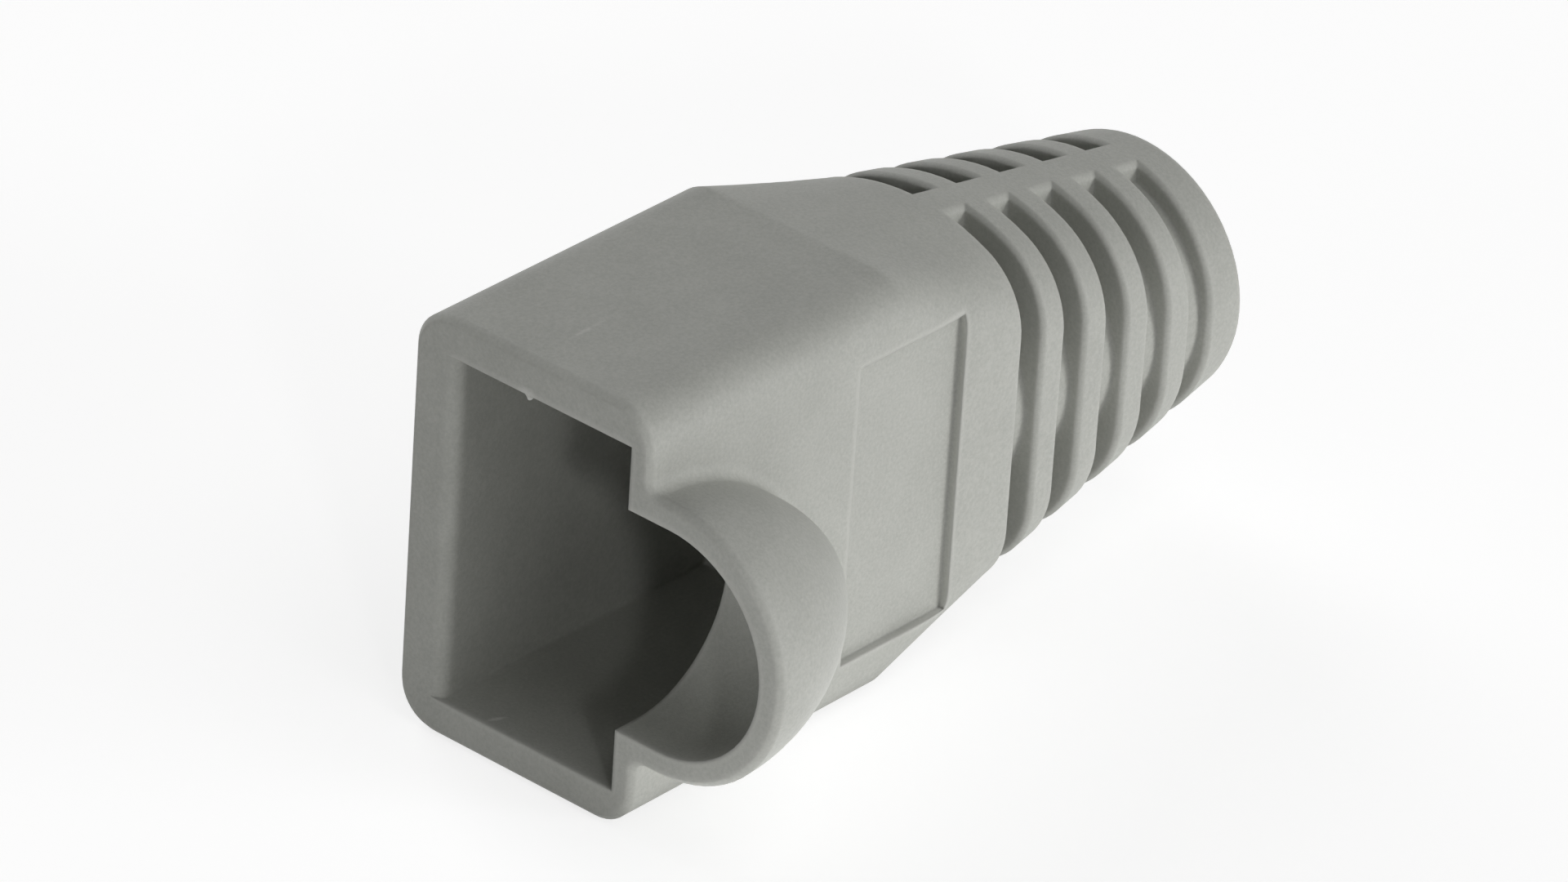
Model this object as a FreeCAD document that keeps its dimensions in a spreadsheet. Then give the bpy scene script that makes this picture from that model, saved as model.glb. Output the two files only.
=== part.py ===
import FreeCAD, Part
import math
import os

import Sketcher
from FreeCAD import Vector

# Slip-on strain relief boot for an 8P8C (RJ45) plug, moulded in one piece of soft PVC.
# Frame: the cable leaves along +X, and the origin is the centre of the cable hole in the tail's end
# face. The plug enters the mouth at the -X end. The latch hood stands on the -Y face, called the
# front here, and the boot lies on its narrow side, which faces -Z. Lengths are in millimetres.

SIZES = {
    # square sleeve that slips over the plug
    "sleeve_length": 11.7,
    "sleeve_width": 14.6,
    "sleeve_thickness": 9.6,
    "sleeve_front": 4.49,
    "sleeve_corner": 1.5,
    "front_wall": 0.75,
    "back_wall": 1.8,
    "side_wall": 1.3,
    "cavity_depth": 12.0,
    # neck that turns the square sleeve into the oval root of the tail
    "neck_length": 5.2,
    "root_crown": 7.56,
    "root_corner": 2.67,
    # ribbed tail round the cable, and how far its root stands out beyond its round end
    "tail_length": 11.31,
    "tail_radius": 4.47,
    "front_taper": 0.115,
    "back_taper": 0.385,
    "side_taper": 2.125,
    "tail_flat": 4.0,
    "bore_radius": 3.0,
    "groove_count": 5,
    "groove_width": 0.95,
    "groove_depth": 0.37,
    "root_collar": 0.3,
    "end_collar": 1.66,
    "spine_width": 1.4,
    "spine_offset": 0.44,
    # hood over the plug's latch
    "hood_offset": 5.39,
    "hood_radius": 4.72,
    "hood_length": 7.2,
    "hood_nose": 0.9,
    "latch_radius": 3.85,
    "latch_straight": 0.9,
    # shallow rectangular panel behind the hood
    "panel_start": 9.55,
    "panel_length": 4.9,
    "panel_width": 10.5,
    "panel_depth": 0.25,
    # rounded edges
    "hood_blend": 0.4,
    "tail_edge": 0.2,
    "rim_edge": 0.5,
    "ring_edge": 0.15,
    "mouth_edge": 0.2,
}

# Stations along the boot and places across it, measured from the origin.
MOUTH = "-(sizes.sleeve_length + sizes.neck_length + sizes.tail_length)"
NECK = "-(sizes.neck_length + sizes.tail_length)"
ROOT = "-sizes.tail_length"
CAVITY_END = f"{MOUTH} + sizes.cavity_depth"
ROOT_FRONT = "sizes.tail_radius + sizes.front_taper"
ROOT_THICKNESS = "2 * sizes.tail_radius + sizes.front_taper + sizes.back_taper"
ROOT_WIDTH = "2 * (sizes.tail_radius + sizes.side_taper)"
CORE = "sizes.tail_radius - sizes.groove_depth"
GROOVES = "sizes.root_collar - sizes.tail_length"
GROOVE_SPAN = f"-({GROOVES}) - sizes.end_collar - sizes.groove_width"
CAVITY_FRONT = "sizes.sleeve_front - sizes.front_wall"
CAVITY_BACK = "sizes.sleeve_thickness - sizes.sleeve_front - sizes.back_wall"
CAVITY_WIDTH = "sizes.sleeve_width - 2 * sizes.side_wall"
EDGE_BELLY = "sizes.tail_edge * (1 - cos(45 deg))"
SPINE_FRONT = "sizes.spine_offset + sizes.spine_width / 2"
SPINE_BACK = "sizes.spine_width / 2 - sizes.spine_offset"
HOOD_DROP = f"sizes.hood_offset - ({CAVITY_FRONT})"
CROWN_TURN = (
    f"acos((({ROOT_THICKNESS}) / 2 - sizes.root_corner) / (sizes.root_crown - sizes.root_corner))"
)

document = FreeCAD.newDocument("strain_relief_boot")
sheet = document.addObject("Spreadsheet::Sheet", "sizes")
for row, (alias, size) in enumerate(SIZES.items(), start=1):
    sheet.set(f"A{row}", alias)
    sheet.set(f"B{row}", str(size))
    sheet.setAlias(f"B{row}", alias)
document.recompute()

body = document.addObject("PartDesign::Body", "boot")
body.Label = "boot"


# --- helpers ------------------------------------------------------------------------------------
def value(expression):
    """The number that an expression on the sizes sheet gives."""
    result = body.evalExpression(expression)
    return float(getattr(result, "Value", result))


def origin_item(role):
    return next(item for item in body.Origin.OriginFeatures if item.Role == role)


def new_sketch(name, role, right="0", up="0", out="0"):
    """A sketch on one of the body's origin planes, shifted within the plane and along its normal."""
    sketch = body.newObject("Sketcher::SketchObject", name)
    sketch.AttachmentSupport = [(origin_item(role), "")]
    sketch.MapMode = "FlatFace"
    sketch.setExpression("AttachmentOffset.Base.x", right)
    sketch.setExpression("AttachmentOffset.Base.y", up)
    sketch.setExpression("AttachmentOffset.Base.z", out)
    return sketch


def line(start, end):
    return Part.LineSegment(Vector(*start, 0), Vector(*end, 0))


def arc(centre, radius, first, last):
    """A counterclockwise arc between two angles in degrees."""
    circle = Part.Circle(Vector(*centre, 0), Vector(0, 0, 1), radius)
    return Part.ArcOfCircle(circle, math.radians(first), math.radians(last))


def closed_loop(sketch, pieces, joints):
    """Add the pieces and join each one's end to the next one's start."""
    sketch.addGeometry(pieces, False)
    for index, joint in enumerate(joints):
        following = (index + 1) % len(pieces)
        relate(sketch, joint, index, 2, following, 1)


def relate(sketch, kind, *references):
    sketch.addConstraint(Sketcher.Constraint(kind, *references))


def dimension(sketch, kind, *references, size):
    """Add a dimension that follows an expression on the sizes sheet."""
    start = math.radians(value(size)) if kind == "Angle" else value(size)
    index = sketch.addConstraint(Sketcher.Constraint(kind, *references, start))
    sketch.setExpression(f"Constraints[{index}]", size)


volumes = [0.0]


def finish(feature, sign):
    """Recompute, and see that the feature added material (+1) or took it away (-1)."""
    body.Tip = feature
    document.recompute()
    if "Invalid" in feature.State or feature.Shape.isNull() or not feature.Shape.isValid():
        raise RuntimeError(f"{feature.Name} failed")
    if sign * (feature.Shape.Volume - volumes[-1]) <= 0:
        raise RuntimeError(f"{feature.Name} took the volume from {volumes[-1]} the wrong way")
    volumes.append(feature.Shape.Volume)
    return feature


def add(kind, name, profile, sign, **settings):
    """A feature on a sketch; a setting given as a string, but for Type, is an expression on the sheet."""
    feature = body.newObject(f"PartDesign::{kind}", name)
    feature.Profile = profile
    for key, setting in settings.items():
        if isinstance(setting, str) and key != "Type":
            feature.setExpression(key, setting)
        else:
            setattr(feature, key, setting)
    return finish(feature, sign)


def dress_edges(kind, name, base, size, sign, chosen):
    """Fillet or chamfer the edges whose points, taken along each one's middle half, pass the test."""
    names = []
    for index, edge in enumerate(base.Shape.Edges, start=1):
        first, last = edge.ParameterRange
        points = [edge.valueAt(first + (last - first) * part) for part in (0.25, 0.5, 0.75)]
        if not edge.Degenerated and chosen(points):
            names.append(f"Edge{index}")
    feature = body.newObject(f"PartDesign::{kind}", name)
    feature.Base = (base, names)
    feature.setExpression("Radius" if kind == "Fillet" else "Size", size)
    return finish(feature, sign)


def near(number, target):
    return abs(number - target) < 1e-4


# --- sections across the boot -------------------------------------------------------------------
def sleeve_section(name, station):
    """The sleeve's rounded rectangle, with its thickness across and its width upright."""
    sketch = new_sketch(name, "YZ_Plane", out=station)
    corner = value("sizes.sleeve_corner")
    back = value("sizes.sleeve_thickness - sizes.sleeve_front") - corner
    front = corner - value("sizes.sleeve_front")
    top = value("sizes.sleeve_width / 2") - corner
    pieces = [
        line((back + corner, -top), (back + corner, top)),
        arc((back, top), corner, 0, 90),
        line((back, top + corner), (front, top + corner)),
        arc((front, top), corner, 90, 180),
        line((front - corner, top), (front - corner, -top)),
        arc((front, -top), corner, 180, 270),
        line((front, -top - corner), (back, -top - corner)),
        arc((back, -top), corner, 270, 360),
    ]
    closed_loop(sketch, pieces, ["Tangent"] * 8)
    for upright in (0, 4):
        relate(sketch, "Vertical", upright)
    for level in (2, 6):
        relate(sketch, "Horizontal", level)
    for other in (3, 5, 7):
        relate(sketch, "Equal", 1, other)
    dimension(sketch, "Radius", 1, size="sizes.sleeve_corner")
    dimension(sketch, "DistanceX", 4, 1, -1, 1, size="sizes.sleeve_front")
    dimension(sketch, "DistanceX", 4, 1, 0, 2, size="sizes.sleeve_thickness")
    dimension(sketch, "DistanceY", -1, 1, 2, 1, size="sizes.sleeve_width / 2")
    dimension(sketch, "DistanceY", 6, 1, 2, 1, size="sizes.sleeve_width")
    return sketch


def root_section(name, station):
    """The tail's root: flat front and back, crowned narrow sides and round corners between."""
    sketch = new_sketch(name, "YZ_Plane", out=station)
    corner = value("sizes.root_corner")
    crown = value("sizes.root_crown")
    turn = value(CROWN_TURN)
    side = (crown - corner) * math.cos(math.radians(turn))
    middle = value(ROOT_THICKNESS) / 2 - value(ROOT_FRONT)
    crown_height = value(ROOT_WIDTH) / 2 - crown
    height = crown_height + (crown - corner) * math.sin(math.radians(turn))
    back = middle + side
    front = middle - side
    pieces = [
        line((back + corner, -height), (back + corner, height)),
        arc((back, height), corner, 0, turn),
        arc((middle, crown_height), crown, turn, 180 - turn),
        arc((front, height), corner, 180 - turn, 180),
        line((front - corner, height), (front - corner, -height)),
        arc((front, -height), corner, 180, 180 + turn),
        arc((middle, -crown_height), crown, 180 + turn, 360 - turn),
        arc((back, -height), corner, 360 - turn, 360),
    ]
    closed_loop(sketch, pieces, ["Tangent"] * 8)
    for upright in (0, 4):
        relate(sketch, "Vertical", upright)
    for other in (3, 5, 7):
        relate(sketch, "Equal", 1, other)
    relate(sketch, "Equal", 2, 6)
    relate(sketch, "Horizontal", 1, 3, 3, 3)
    relate(sketch, "Symmetric", 2, 3, 6, 3, -1)
    apex = sketch.addGeometry(Part.Point(Vector(middle, crown_height + crown, 0)), True)
    relate(sketch, "PointOnObject", apex, 1, 2)
    relate(sketch, "Vertical", apex, 1, 2, 3)
    dimension(sketch, "DistanceY", -1, 1, apex, 1, size="sizes.tail_radius + sizes.side_taper")
    dimension(sketch, "DistanceX", 4, 1, -1, 1, size=ROOT_FRONT)
    dimension(sketch, "DistanceX", 4, 1, 0, 2, size=ROOT_THICKNESS)
    dimension(sketch, "Radius", 1, size="sizes.root_corner")
    dimension(sketch, "Radius", 2, size="sizes.root_crown")
    return sketch


def split_circle(name, station, radius, spans):
    """A circle about the cable's axis in arcs of the given spans, the first astride the +Y side."""
    sketch = new_sketch(name, "YZ_Plane", out=station)
    start = -value(spans[0]) / 2
    pieces = []
    for span in spans:
        pieces.append(arc((0, 0), value(radius), start, start + value(span)))
        start += value(span)
    closed_loop(sketch, pieces, ["Coincident"] * len(pieces))
    last = len(pieces) - 1
    for index in range(last):
        relate(sketch, "Coincident", index, 3, -1, 1)
        dimension(sketch, "Angle", index, size=spans[index])
    relate(sketch, "Equal", 0, last)
    relate(sketch, "Vertical", 0, 1, 0, 2)
    dimension(sketch, "Radius", 0, size=radius)
    return sketch


def cavity_section(name, station):
    """The rectangle that the plug fills."""
    sketch = new_sketch(name, "YZ_Plane", out=station)
    front = -value(CAVITY_FRONT)
    back = value(CAVITY_BACK)
    top = value(CAVITY_WIDTH) / 2
    pieces = [
        line((back, -top), (back, top)),
        line((back, top), (front, top)),
        line((front, top), (front, -top)),
        line((front, -top), (back, -top)),
    ]
    closed_loop(sketch, pieces, ["Coincident"] * 4)
    relate(sketch, "Horizontal", 1)
    relate(sketch, "Vertical", 2)
    relate(sketch, "Horizontal", 3)
    relate(sketch, "Symmetric", 0, 1, 0, 2, -1)
    dimension(sketch, "DistanceX", 2, 1, -1, 1, size=CAVITY_FRONT)
    dimension(sketch, "DistanceX", -1, 1, 0, 1, size=CAVITY_BACK)
    dimension(sketch, "DistanceY", 0, size=CAVITY_WIDTH)
    return sketch


def groove_section(name, side):
    """One half of a groove: all that lies outside the round core, on one side of the spines."""
    sketch = new_sketch(name, "YZ_Plane", out=GROOVES)
    core = value(CORE)
    reach = value(ROOT_WIDTH)
    spine = value(SPINE_BACK) if side > 0 else -value(SPINE_FRONT)
    turn = math.degrees(math.acos(spine / core))
    first, last = (-turn, turn) if side > 0 else (turn, 360 - turn)
    height = side * core * math.sin(math.radians(turn))
    far = side * reach
    pieces = [
        arc((0, 0), core, first, last),
        line((spine, height), (spine, far)),
        line((spine, far), (far, far)),
        line((far, far), (far, -far)),
        line((far, -far), (spine, -far)),
        line((spine, -far), (spine, -height)),
    ]
    closed_loop(sketch, pieces, ["Coincident"] * 6)
    relate(sketch, "Coincident", 0, 3, -1, 1)
    relate(sketch, "Vertical", 1)
    relate(sketch, "Horizontal", 2)
    relate(sketch, "Symmetric", 3, 1, 3, 2, -1)
    relate(sketch, "Horizontal", 4)
    relate(sketch, "Vertical", 5)
    relate(sketch, "Vertical", 1, 1, 5, 2)
    dimension(sketch, "Radius", 0, size=CORE)
    if side > 0:
        dimension(sketch, "DistanceY", 3, 2, 3, 1, size=f"2 * {ROOT_WIDTH}")
        dimension(sketch, "DistanceX", -1, 1, 3, 1, size=ROOT_WIDTH)
        dimension(sketch, "DistanceX", 1, 1, 3, 1, size=f"{ROOT_WIDTH} - ({SPINE_BACK})")
    else:
        dimension(sketch, "DistanceY", 3, 1, 3, 2, size=f"2 * {ROOT_WIDTH}")
        dimension(sketch, "DistanceX", 3, 1, -1, 1, size=ROOT_WIDTH)
        dimension(sketch, "DistanceX", 3, 1, 1, 1, size=f"{ROOT_WIDTH} - ({SPINE_FRONT})")
    return sketch


# --- outlines of the hood and its latch pocket --------------------------------------------------
def hood_arcs():
    """Radius of the hood's long arc, and the angle at which its nose takes over."""
    radius = value("sizes.hood_radius")
    nose = value("sizes.hood_nose")
    reach = value("sizes.hood_length") - nose
    long_radius = (reach**2 + radius**2 - nose**2) / (2 * (radius - nose))
    turn = math.degrees(math.atan2(long_radius - radius, reach))
    return long_radius, turn


def hood_profile():
    """Half of the hood's outline, from its mouth round the nose, closed along its own axis."""
    sketch = new_sketch("hood_profile", "XY_Plane", right=MOUTH, up="-sizes.hood_offset")
    radius = value("sizes.hood_radius")
    nose = value("sizes.hood_nose")
    length = value("sizes.hood_length")
    long_radius, turn = hood_arcs()
    pieces = [
        line((0, 0), (0, -radius)),
        arc((0, long_radius - radius), long_radius, 270, 360 - turn),
        arc((length - nose, 0), nose, 360 - turn, 360),
        line((length, 0), (0, 0)),
    ]
    closed_loop(sketch, pieces, ["Coincident", "Tangent", "Coincident", "Coincident"])
    relate(sketch, "Coincident", 0, 1, -1, 1)
    relate(sketch, "Vertical", 0)
    relate(sketch, "Horizontal", 3)
    relate(sketch, "PointOnObject", 1, 3, -2)
    relate(sketch, "PointOnObject", 2, 3, -1)
    dimension(sketch, "DistanceY", 0, 2, 0, 1, size="sizes.hood_radius")
    dimension(sketch, "DistanceX", 3, 2, 3, 1, size="sizes.hood_length")
    dimension(sketch, "Radius", 2, size="sizes.hood_nose")
    return sketch


def hood_outline():
    """The hood's whole outline, seen square to the front face."""
    sketch = new_sketch("hood_outline", "XZ_Plane", right=MOUTH, out="sizes.hood_offset")
    radius = value("sizes.hood_radius")
    nose = value("sizes.hood_nose")
    length = value("sizes.hood_length")
    long_radius, turn = hood_arcs()
    pieces = [
        arc((0, long_radius - radius), long_radius, 270, 360 - turn),
        arc((length - nose, 0), nose, -turn, turn),
        arc((0, radius - long_radius), long_radius, turn, 90),
        line((0, radius), (0, -radius)),
    ]
    closed_loop(sketch, pieces, ["Tangent", "Tangent", "Coincident", "Coincident"])
    relate(sketch, "Equal", 0, 2)
    relate(sketch, "PointOnObject", 3, 1, -2)
    relate(sketch, "PointOnObject", 3, 2, -2)
    relate(sketch, "PointOnObject", 0, 3, -2)
    relate(sketch, "PointOnObject", 2, 3, -2)
    relate(sketch, "PointOnObject", 1, 3, -1)
    dimension(sketch, "DistanceY", 3, 2, 3, 1, size="2 * sizes.hood_radius")
    dimension(sketch, "DistanceX", -1, 1, 1, 3, size="sizes.hood_length - sizes.hood_nose")
    dimension(sketch, "Radius", 1, size="sizes.hood_nose")
    return sketch


def latch_profile():
    """Half of the latch pocket's outline: straight from the mouth, then a ball nose."""
    sketch = new_sketch("latch_profile", "XY_Plane", right=MOUTH, up="-sizes.hood_offset")
    radius = value("sizes.latch_radius")
    straight = value("sizes.latch_straight")
    pieces = [
        line((0, 0), (0, -radius)),
        line((0, -radius), (straight, -radius)),
        arc((straight, 0), radius, 270, 360),
        line((straight + radius, 0), (0, 0)),
    ]
    closed_loop(sketch, pieces, ["Coincident", "Tangent", "Coincident", "Coincident"])
    relate(sketch, "Coincident", 0, 1, -1, 1)
    relate(sketch, "Vertical", 0)
    relate(sketch, "Horizontal", 1)
    relate(sketch, "Horizontal", 3)
    relate(sketch, "PointOnObject", 2, 3, -1)
    dimension(sketch, "Radius", 2, size="sizes.latch_radius")
    dimension(sketch, "DistanceX", 1, 1, 1, 2, size="sizes.latch_straight")
    return sketch


def latch_outline():
    """The same pocket's whole outline, seen square to the front face."""
    sketch = new_sketch("latch_outline", "XZ_Plane", right=MOUTH, out="sizes.hood_offset")
    radius = value("sizes.latch_radius")
    straight = value("sizes.latch_straight")
    pieces = [
        line((0, -radius), (straight, -radius)),
        arc((straight, 0), radius, -90, 90),
        line((straight, radius), (0, radius)),
        line((0, radius), (0, -radius)),
    ]
    closed_loop(sketch, pieces, ["Tangent", "Tangent", "Coincident", "Coincident"])
    relate(sketch, "Horizontal", 0)
    relate(sketch, "Horizontal", 2)
    relate(sketch, "Vertical", 3)
    relate(sketch, "PointOnObject", 3, 1, -2)
    relate(sketch, "PointOnObject", 1, 3, -1)
    dimension(sketch, "Radius", 1, size="sizes.latch_radius")
    dimension(sketch, "DistanceX", 2, 2, 2, 1, size="sizes.latch_straight")
    return sketch


def panel_outline():
    """The rectangle of the panel behind the hood, on the panel's floor."""
    start = f"{MOUTH} + sizes.panel_start"
    floor = "sizes.sleeve_front - sizes.panel_depth"
    sketch = new_sketch("panel_outline", "XZ_Plane", right=start, out=floor)
    length = value("sizes.panel_length")
    top = value("sizes.panel_width / 2")
    pieces = [
        line((0, -top), (length, -top)),
        line((length, -top), (length, top)),
        line((length, top), (0, top)),
        line((0, top), (0, -top)),
    ]
    closed_loop(sketch, pieces, ["Coincident"] * 4)
    relate(sketch, "Horizontal", 0)
    relate(sketch, "Vertical", 1)
    relate(sketch, "Horizontal", 2)
    relate(sketch, "Vertical", 3)
    relate(sketch, "Symmetric", 3, 1, 3, 2, -1, 1)
    dimension(sketch, "DistanceX", 0, size="sizes.panel_length")
    dimension(sketch, "DistanceY", 1, size="sizes.panel_width")
    return sketch


def end_profile():
    """Half of the tail's last slice, with its edge taken off in two bevels, closed along the axis."""
    sketch = new_sketch("end_profile", "XY_Plane")
    radius = value("sizes.tail_radius")
    edge = value("sizes.tail_edge")
    belly = value(EDGE_BELLY)
    pieces = [
        line((0, 0), (0, radius - edge)),
        line((0, radius - edge), (-belly, radius - belly)),
        line((-belly, radius - belly), (-edge, radius)),
        line((-edge, radius), (-edge, 0)),
        line((-edge, 0), (0, 0)),
    ]
    closed_loop(sketch, pieces, ["Coincident"] * 5)
    relate(sketch, "Coincident", 0, 1, -1, 1)
    relate(sketch, "Vertical", 0)
    relate(sketch, "Equal", 1, 2)
    relate(sketch, "Vertical", 3)
    relate(sketch, "Horizontal", 4)
    dimension(sketch, "DistanceX", 4, size="sizes.tail_edge")
    dimension(sketch, "DistanceX", 1, 2, 1, 1, size=EDGE_BELLY)
    dimension(sketch, "DistanceY", 3, 2, 3, 1, size="sizes.tail_radius")
    dimension(sketch, "DistanceY", 0, size="sizes.tail_radius - sizes.tail_edge")
    return sketch


def bore_outline():
    sketch = new_sketch("bore_outline", "YZ_Plane")
    sketch.addGeometry(Part.Circle(Vector(), Vector(0, 0, 1), value("sizes.bore_radius")), False)
    relate(sketch, "Coincident", 0, 3, -1, 1)
    dimension(sketch, "Radius", 0, size="sizes.bore_radius")
    return sketch


# --- outside: sleeve, neck and tail -------------------------------------------------------------
add("Pad", "sleeve", sleeve_section("sleeve_section", MOUTH), 1, Length="sizes.sleeve_length")

# The end circle is split so that each arc faces the piece of the root section that it grows from.
flat_span = "sizes.tail_flat * 2 deg"
corner_span = f"{CROWN_TURN} - sizes.tail_flat * 1 deg"
crown_span = f"180 deg - 2 * {CROWN_TURN}"
end_spans = [flat_span, corner_span, crown_span, corner_span] * 2
neck_and_tail = [
    root_section("root_section", ROOT),
    split_circle("tail_end_circle", "-sizes.tail_edge", "sizes.tail_radius", end_spans),
]
add(
    "AdditiveLoft",
    "neck_and_tail",
    sleeve_section("neck_section", NECK),
    1,
    Sections=neck_and_tail,
    Ruled=True,
)
profile = end_profile()
add("Revolution", "tail_end", profile, 1, ReferenceAxis=(profile, ["H_Axis"]), Angle=360)

# --- hood: half a turned dome, carried down to the sleeve by straight walls ---------------------
profile = hood_profile()
half_turn = {"ReferenceAxis": (profile, ["H_Axis"]), "Angle": 180, "Midplane": True}
add("Revolution", "hood_dome", profile, 1, **half_turn)
hood = add("Pad", "hood_walls", hood_outline(), 1, Length=HOOD_DROP, Reversed=True)

mouth_x = value(MOUTH)
front_y = -value("sizes.sleeve_front")
hood_end = mouth_x + value("sizes.hood_length")
hood_side = value("sizes.hood_radius")


def at_hood_foot(points):
    """On the front face, round the hood, but not along the mouth or at the sleeve's corners."""
    return all(
        near(point.y, front_y)
        and mouth_x + 1e-3 < point.x < hood_end + 1e-3
        and abs(point.z) < hood_side + 1e-3
        for point in points
    )


dress_edges("Fillet", "hood_blend", hood, "sizes.hood_blend", 1, at_hood_foot)

# --- inside: plug cavity, funnel, cable bore and latch pocket -----------------------------------
add(
    "Pocket",
    "plug_cavity",
    cavity_section("cavity_section", MOUTH),
    -1,
    Length="sizes.cavity_depth",
    Reversed=True,
)
funnel_end = split_circle("funnel_end_circle", ROOT, "sizes.bore_radius", ["90 deg"] * 4)
add(
    "SubtractiveLoft",
    "funnel",
    cavity_section("funnel_section", CAVITY_END),
    -1,
    Sections=[funnel_end],
    Ruled=True,
)
add("Pocket", "cable_bore", bore_outline(), -1, Length="sizes.tail_length")

profile = latch_profile()
half_turn = {"ReferenceAxis": (profile, ["H_Axis"]), "Angle": 180, "Midplane": True}
add("Groove", "latch_dome", profile, -1, **half_turn)
add("Pocket", "latch_slot", latch_outline(), -1, Length=HOOD_DROP)
add("Pocket", "panel", panel_outline(), -1, Type="ThroughAll", Reversed=True)

# --- grooves round the tail, broken by a spine along each narrow side ---------------------------
groove_cut = {"Length": "sizes.groove_width", "Reversed": True}
front_groove = add("Pocket", "front_groove", groove_section("front_section", -1), -1, **groove_cut)
back_groove = add("Pocket", "back_groove", groove_section("back_section", 1), -1, **groove_cut)
grooves = body.newObject("PartDesign::LinearPattern", "grooves")
grooves.Originals = [front_groove, back_groove]
grooves.Direction = (origin_item("X_Axis"), [""])
grooves.setExpression("Length", GROOVE_SPAN)
grooves.setExpression("Occurrences", "sizes.groove_count")
finish(grooves, -1)

# --- soft edges ---------------------------------------------------------------------------------
core = value(CORE)
spine_sides = (-value(SPINE_FRONT), value(SPINE_BACK))
pitch = value(GROOVE_SPAN) / (value("sizes.groove_count") - 1)
groove_starts = [value(GROOVES) + index * pitch for index in range(int(value("sizes.groove_count")))]
groove_walls = groove_starts + [start + value("sizes.groove_width") for start in groove_starts]


def at_ring_edge(points):
    """Round the outside, where a groove's wall meets the tail, or along a spine's side."""
    outer = all(math.hypot(point.y, point.z) > core + 1e-2 for point in points)
    on_wall = any(all(near(point.x, wall) for point in points) for wall in groove_walls)
    on_spine = any(all(near(point.y, side) for point in points) for side in spine_sides)
    over_spine = spine_sides[0] < points[1].y < spine_sides[1]
    along_spine = on_spine and not on_wall
    return outer and (along_spine or (on_wall and not on_spine and not over_spine))


rings = dress_edges("Chamfer", "ring_edges", grooves, "sizes.ring_edge", -1, at_ring_edge)
cavity_front = -value(CAVITY_FRONT)
cavity_back = value(CAVITY_BACK)
cavity_side = value(CAVITY_WIDTH) / 2
hood_y = -value("sizes.hood_offset")
latch_side = value("sizes.latch_radius")


def at_mouth_outline(points):
    """Round the outside of the mouth, sleeve and hood together, but not along its inner edges."""
    middle = points[1]
    inner_edge = (
        near(middle.y, cavity_front)
        or near(middle.y, cavity_back)
        or near(abs(middle.z), cavity_side)
        or near(abs(middle.z), latch_side)
        or near(math.hypot(middle.y - hood_y, middle.z), latch_side)
    )
    return all(near(point.x, mouth_x) for point in points) and not inner_edge


mouth = dress_edges("Chamfer", "mouth_edges", rings, "sizes.mouth_edge", -1, at_mouth_outline)


def at_back_rim(points):
    return all(near(point.x, mouth_x) and near(point.y, cavity_back) for point in points)


dress_edges("Fillet", "back_rim_edge", mouth, "sizes.rim_edge", -1, at_back_rim)

# --- check and write ----------------------------------------------------------------------------
document.recompute()
failed = [item.Name for item in document.Objects if {"Invalid", "Error"} & set(item.State)]
if failed:
    raise RuntimeError(f"not built: {failed}")
if body.Shape.isNull() or not body.Shape.isValid() or len(body.Shape.Solids) != 1:
    raise RuntimeError("the boot is not one valid solid")
os.makedirs("parts", exist_ok=True)
body.Shape.exportStep(f"parts/{body.Label}.step")
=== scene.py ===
from math import cos, radians, sin

import bpy
from mathutils import Matrix, Vector, noise


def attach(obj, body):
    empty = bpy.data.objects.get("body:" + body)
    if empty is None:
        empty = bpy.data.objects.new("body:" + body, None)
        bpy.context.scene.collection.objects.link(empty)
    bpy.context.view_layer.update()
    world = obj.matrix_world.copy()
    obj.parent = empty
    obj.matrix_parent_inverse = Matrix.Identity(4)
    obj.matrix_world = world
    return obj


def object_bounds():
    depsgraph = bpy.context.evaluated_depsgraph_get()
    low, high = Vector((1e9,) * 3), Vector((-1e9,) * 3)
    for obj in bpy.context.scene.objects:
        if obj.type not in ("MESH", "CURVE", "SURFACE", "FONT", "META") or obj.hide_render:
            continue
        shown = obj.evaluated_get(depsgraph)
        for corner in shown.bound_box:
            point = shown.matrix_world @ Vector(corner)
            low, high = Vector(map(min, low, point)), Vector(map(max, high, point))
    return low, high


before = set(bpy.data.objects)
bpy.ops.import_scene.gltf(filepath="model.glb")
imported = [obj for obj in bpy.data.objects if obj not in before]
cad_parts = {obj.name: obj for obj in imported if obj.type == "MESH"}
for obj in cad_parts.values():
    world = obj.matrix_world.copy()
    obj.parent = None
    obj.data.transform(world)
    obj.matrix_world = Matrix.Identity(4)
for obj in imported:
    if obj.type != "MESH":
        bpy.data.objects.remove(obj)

MM = 0.001
scene = bpy.context.scene
low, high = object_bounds()

# --- places on the boot, worked out from its box ----------------------------------------------
SIDE_WALL = 1.3  # of the sleeve, in millimetres
left = low.x / MM
underside, upper_side = low.z / MM, high.z / MM

SPECK_RADIUS = 0.14
SPECK = Vector((left + 0.17, 0.50, upper_side - SIDE_WALL - 0.08))

# Pale marks as (middle, half sizes, turn, strength), in millimetres and radians.
PALE_MARKS = (
    (tuple(SPECK), (0.5, 0.5, 0.4), 0.0, 1.0),
    ((left + 2.45, 0.42, upper_side), (0.95, 0.10, 0.3), 0.02, 0.35),  # scuff on the upper side
    ((left + 0.50, 1.42, underside + SIDE_WALL), (0.40, 0.12, 0.3), -0.45, 0.9),  # in the mouth
)

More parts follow.
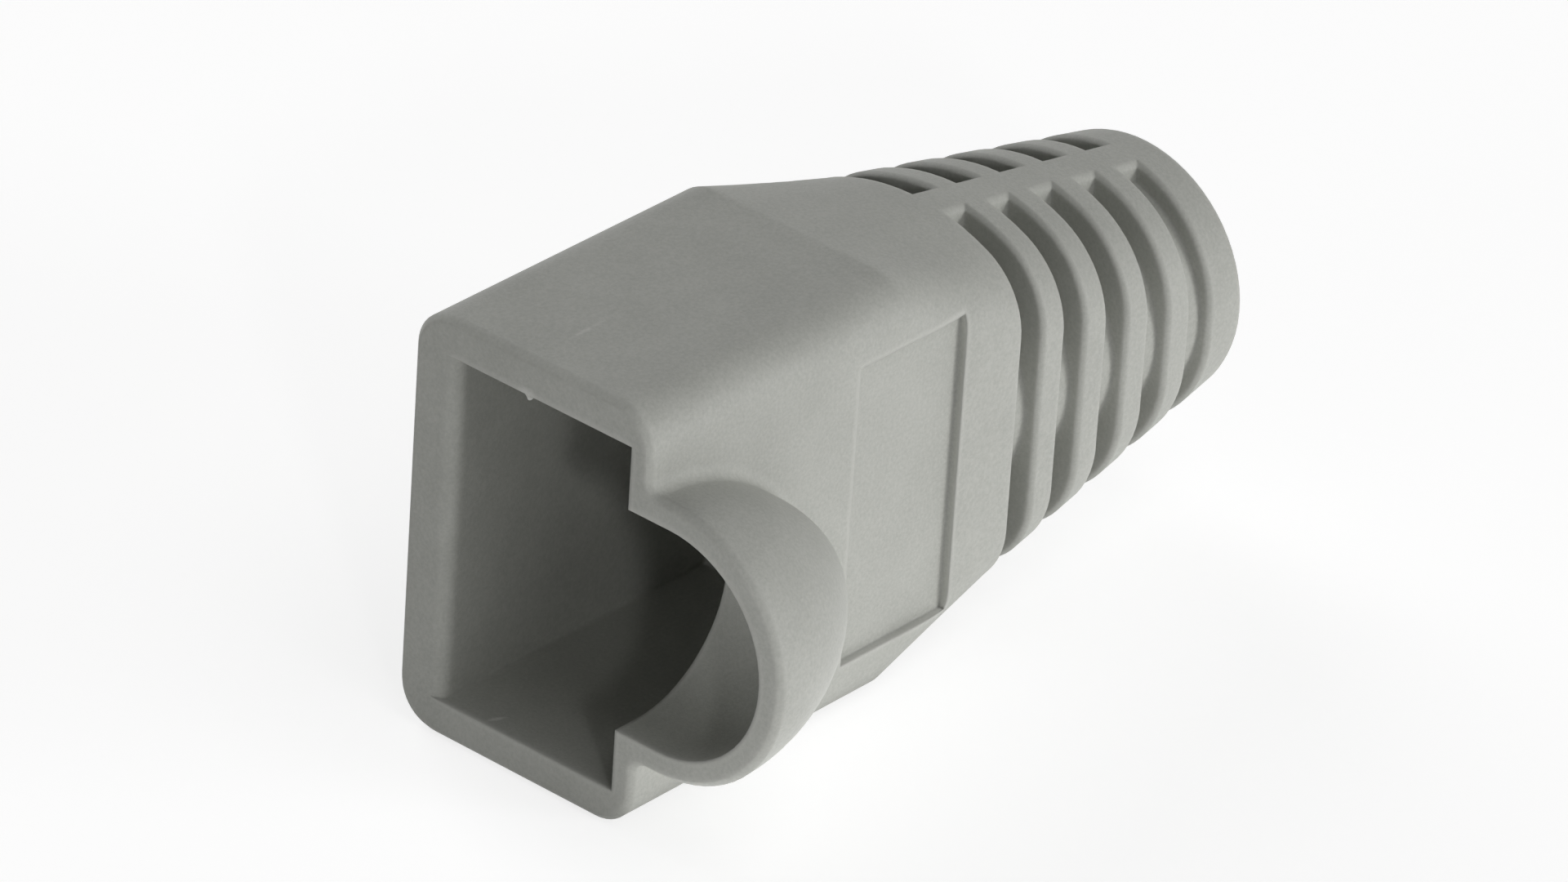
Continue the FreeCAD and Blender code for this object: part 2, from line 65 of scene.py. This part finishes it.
# --- colours ----------------------------------------------------------------------------------
WHITE = (1, 1, 1, 1)
PVC_DARK = (0.365, 0.370, 0.342, 1)
PVC_PALE = (0.440, 0.446, 0.414, 1)
# Colour of the painted highlight on convex edges.
PAINTED_EDGE_HIGHLIGHT = (0.52, 0.525, 0.49, 1)
SCUFFED = (0.62, 0.625, 0.59, 1)
PAPER = (0.8, 0.8, 0.8, 1)
SEEN_PAPER = (0.45, 0.45, 0.45, 1)
SEEN_GLOW = 0.76


# --- node helpers -----------------------------------------------------------------------------
def node_tree(owner):
    owner.use_nodes = True
    owner.node_tree.nodes.clear()
    return owner.node_tree


def add_node(tree, kind, links=None, values=None, **settings):
    """A node with its settings, the values of its sockets, and the links into them."""
    node = tree.nodes.new(kind)
    for name, setting in settings.items():
        setattr(node, name, setting)
    for socket, number in (values or {}).items():
        node.inputs[socket].default_value = number
    for socket, source in (links or {}).items():
        tree.links.new(source, node.inputs[socket])
    return node


def noise_node(tree, millimetres, scale, roughness):
    values = {"Scale": scale, "Detail": 3, "Roughness": roughness}
    return add_node(tree, "ShaderNodeTexNoise", {"Vector": millimetres}, values).outputs["Fac"]


def map_range(tree, value, limits):
    return add_node(tree, "ShaderNodeMapRange", {"Value": value}, limits).outputs["Result"]


def math_node(tree, operation, links, values=None):
    return add_node(tree, "ShaderNodeMath", links, values, operation=operation).outputs[0]


def patch(tree, millimetres, middle, half, turn):
    """1 in the middle of an ellipsoid, falling to 0 at its surface."""
    local = add_node(
        tree,
        "ShaderNodeMapping",
        {"Vector": millimetres},
        {"Location": middle, "Rotation": (0, 0, turn), "Scale": half},
        vector_type="TEXTURE",
    )
    return add_node(
        tree, "ShaderNodeTexGradient", {"Vector": local.outputs["Vector"]}, gradient_type="SPHERICAL"
    ).outputs["Fac"]


def blend(tree, amount, under, over):
    """The colour `over` laid on `under` by the amount."""
    node = add_node(tree, "ShaderNodeMix", data_type="RGBA")
    tree.links.new(amount, node.inputs["Factor"])
    tree.links.new(under, node.inputs["A"])
    node.inputs["B"].default_value = over
    return node.outputs["Result"]


# --- soft PVC ---------------------------------------------------------------------------------
def soft_pvc():
    material = bpy.data.materials.new("soft_pvc_looks")
    tree = node_tree(material)
    place = add_node(tree, "ShaderNodeTexCoord")
    millimetres = add_node(
        tree, "ShaderNodeMapping", {"Vector": place.outputs["Object"]}, {"Scale": (1000, 1000, 1000)}
    ).outputs["Vector"]

    # Broad clouds under a fine grain.
    clouds = noise_node(tree, millimetres, 0.4, 0.6)
    grain = noise_node(tree, millimetres, 8, 0.7)
    mottle = math_node(tree, "MULTIPLY_ADD", {0: clouds, 2: grain}, {1: 0.5})
    shade = map_range(tree, mottle, {"From Min": 0.55, "From Max": 0.95})
    ramp = add_node(tree, "ShaderNodeValToRGB", {"Fac": shade})
    ramp.color_ramp.elements[0].color = PVC_DARK
    ramp.color_ramp.elements[1].color = PVC_PALE
    colour = ramp.outputs["Color"]

    # Painted highlight: convex edges are painted paler, standing in for the light they catch.
    edge = add_node(
        tree, "ShaderNodeAmbientOcclusion", values={"Distance": 0.25 * MM}, samples=8, inside=True
    )
    edge_highlight = map_range(tree, edge.outputs["AO"], {"From Min": 1.0, "From Max": 0.4, "To Max": 0.9})
    colour = blend(tree, edge_highlight, colour, PAINTED_EDGE_HIGHLIGHT)

    for middle, half, turn, strength in PALE_MARKS:
        spot = patch(tree, millimetres, middle, half, turn)
        broken = math_node(tree, "MULTIPLY", {0: spot, 1: grain})
        amount = map_range(tree, broken, {"From Max": 0.4, "To Max": strength})
        colour = blend(tree, amount, colour, SCUFFED)

    soft_edge = add_node(tree, "ShaderNodeBevel", values={"Radius": 0.25 * MM}, samples=8)
    bump = add_node(
        tree,
        "ShaderNodeBump",
        {"Height": grain, "Normal": soft_edge.outputs["Normal"]},
        {"Strength": 0.5, "Distance": 0.02 * MM},
    )
    shader = add_node(
        tree,
        "ShaderNodeBsdfPrincipled",
        {"Base Color": colour, "Normal": bump.outputs["Normal"]},
        {"Roughness": 0.55, "Specular IOR Level": 0.35},
    )
    add_node(tree, "ShaderNodeOutputMaterial", {"Surface": shader.outputs["BSDF"]})
    return material


pvc = soft_pvc()
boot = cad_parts["boot"]
boot.data.materials.clear()
boot.data.materials.append(pvc)

# --- a speck of flash on the mouth's inner edge -------------------------------------------------
bpy.ops.mesh.primitive_ico_sphere_add(subdivisions=4, radius=1, location=(0, 0, 0))
burr = bpy.context.object
burr.name = "burr"
for vertex in burr.data.vertices:
    lumpy = vertex.co * (1 + 0.35 * noise.noise(vertex.co * 1.3 + Vector((3, 0, 0))))
    vertex.co = (SPECK + lumpy * SPECK_RADIUS) * MM
burr.data.polygons.foreach_set("use_smooth", [True] * len(burr.data.polygons))
burr.data.materials.append(pvc)
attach(burr, "root")


# --- floor and world --------------------------------------------------------------------------
def looked_at(tree):
    """1 where the camera, a reflection or a view through glass looks, and 0 for other light."""
    path = add_node(tree, "ShaderNodeLightPath").outputs
    gloss = math_node(tree, "MAXIMUM", {0: path["Is Camera Ray"], 1: path["Is Glossy Ray"]})
    return math_node(tree, "MAXIMUM", {0: gloss, 1: path["Is Transmission Ray"]})


def split(tree, output, for_light, for_eyes):
    """One shader for the light that falls on things, and another for what is looked at."""
    mixed = add_node(
        tree, "ShaderNodeMixShader", {"Fac": looked_at(tree), 1: for_light, 2: for_eyes}
    )
    add_node(tree, output, {"Surface": mixed.outputs[0]})


bpy.ops.mesh.primitive_plane_add(size=4, location=(0, 0, low.z))
floor = bpy.context.object
floor.name = "floor"
floor_material = bpy.data.materials.new("pale_floor")
tree = node_tree(floor_material)
paper = add_node(tree, "ShaderNodeBsdfDiffuse", values={"Color": PAPER})
sheet = add_node(tree, "ShaderNodeBsdfDiffuse", values={"Color": SEEN_PAPER})
glow = add_node(tree, "ShaderNodeEmission", values={"Color": WHITE, "Strength": SEEN_GLOW})
seen = add_node(tree, "ShaderNodeAddShader", {0: sheet.outputs[0], 1: glow.outputs[0]})
split(tree, "ShaderNodeOutputMaterial", paper.outputs[0], seen.outputs[0])
floor.data.materials.append(floor_material)

world = bpy.data.worlds.new("studio")
scene.world = world
tree = node_tree(world)
white = add_node(tree, "ShaderNodeBackground", values={"Color": WHITE, "Strength": 1.0})
ambient = add_node(tree, "ShaderNodeBackground", values={"Color": WHITE, "Strength": 0.02})
split(tree, "ShaderNodeOutputWorld", ambient.outputs[0], white.outputs[0])

# --- lights -----------------------------------------------------------------------------------
# Distant lights as (name, direction of travel, strength, spread in degrees).
SUNS = (
    ("key", (-0.42, 0.90, -0.10), 1.74, 25),
    ("mouth", (1, 0, -0.02), 0.68, 8),
    ("corner", (0.552, 0.741, -0.382), 0.30, 5),
    ("top", (0, 0.50, -0.87), 0.70, 40),
    ("back", (-0.2, -0.85, -0.49), 0.95, 40),
)
for name, travel, strength, spread in SUNS:
    data = bpy.data.lights.new(name, "SUN")
    data.energy = strength
    data.angle = radians(spread)
    light = bpy.data.objects.new(name, data)
    light.rotation_mode = "QUATERNION"
    light.rotation_quaternion = Vector(travel).to_track_quat("-Z", "Y")
    scene.collection.objects.link(light)

# Light that the bright sheet in front throws up at the boot.
sheet_light = bpy.data.lights.new("sheet_light", "AREA")
sheet_light.shape = "RECTANGLE"
sheet_light.size, sheet_light.size_y = 80 * MM, 66 * MM
sheet_light.energy = 0.0100
bounce = bpy.data.objects.new("sheet_light", sheet_light)
bounce.location = ((low.x + high.x) / 2, low.y - 28 * MM, low.z + 0.2 * MM)
bounce.rotation_euler = (radians(180), 0, 0)
bounce.visible_camera = False
scene.collection.objects.link(bounce)

# --- camera: it looks down into the mouth from the hood's side, a little rolled ----------------
azimuth, elevation, roll = radians(-50.345), radians(30.162), radians(3.833)
AIM = Vector((-16.457, 0.172, -0.141)) * MM
DISTANCE = 378.824 * MM
back = Vector((sin(azimuth) * cos(elevation), -cos(azimuth) * cos(elevation), sin(elevation)))
level = Vector((cos(azimuth), sin(azimuth), 0))
right = level * cos(roll) + back.cross(level) * sin(roll)
up = back.cross(right)
camera_data = bpy.data.cameras.new("camera")
camera_data.lens = 283.13
camera_data.sensor_width = 36
camera_data.clip_start = 0.01
camera_data.clip_end = 10
camera = bpy.data.objects.new("camera", camera_data)
turn = Matrix((right, up, back)).transposed().to_4x4()
camera.matrix_world = Matrix.Translation(AIM + back * DISTANCE) @ turn
scene.collection.objects.link(camera)
scene.camera = camera

scene.view_settings.view_transform = "Standard"
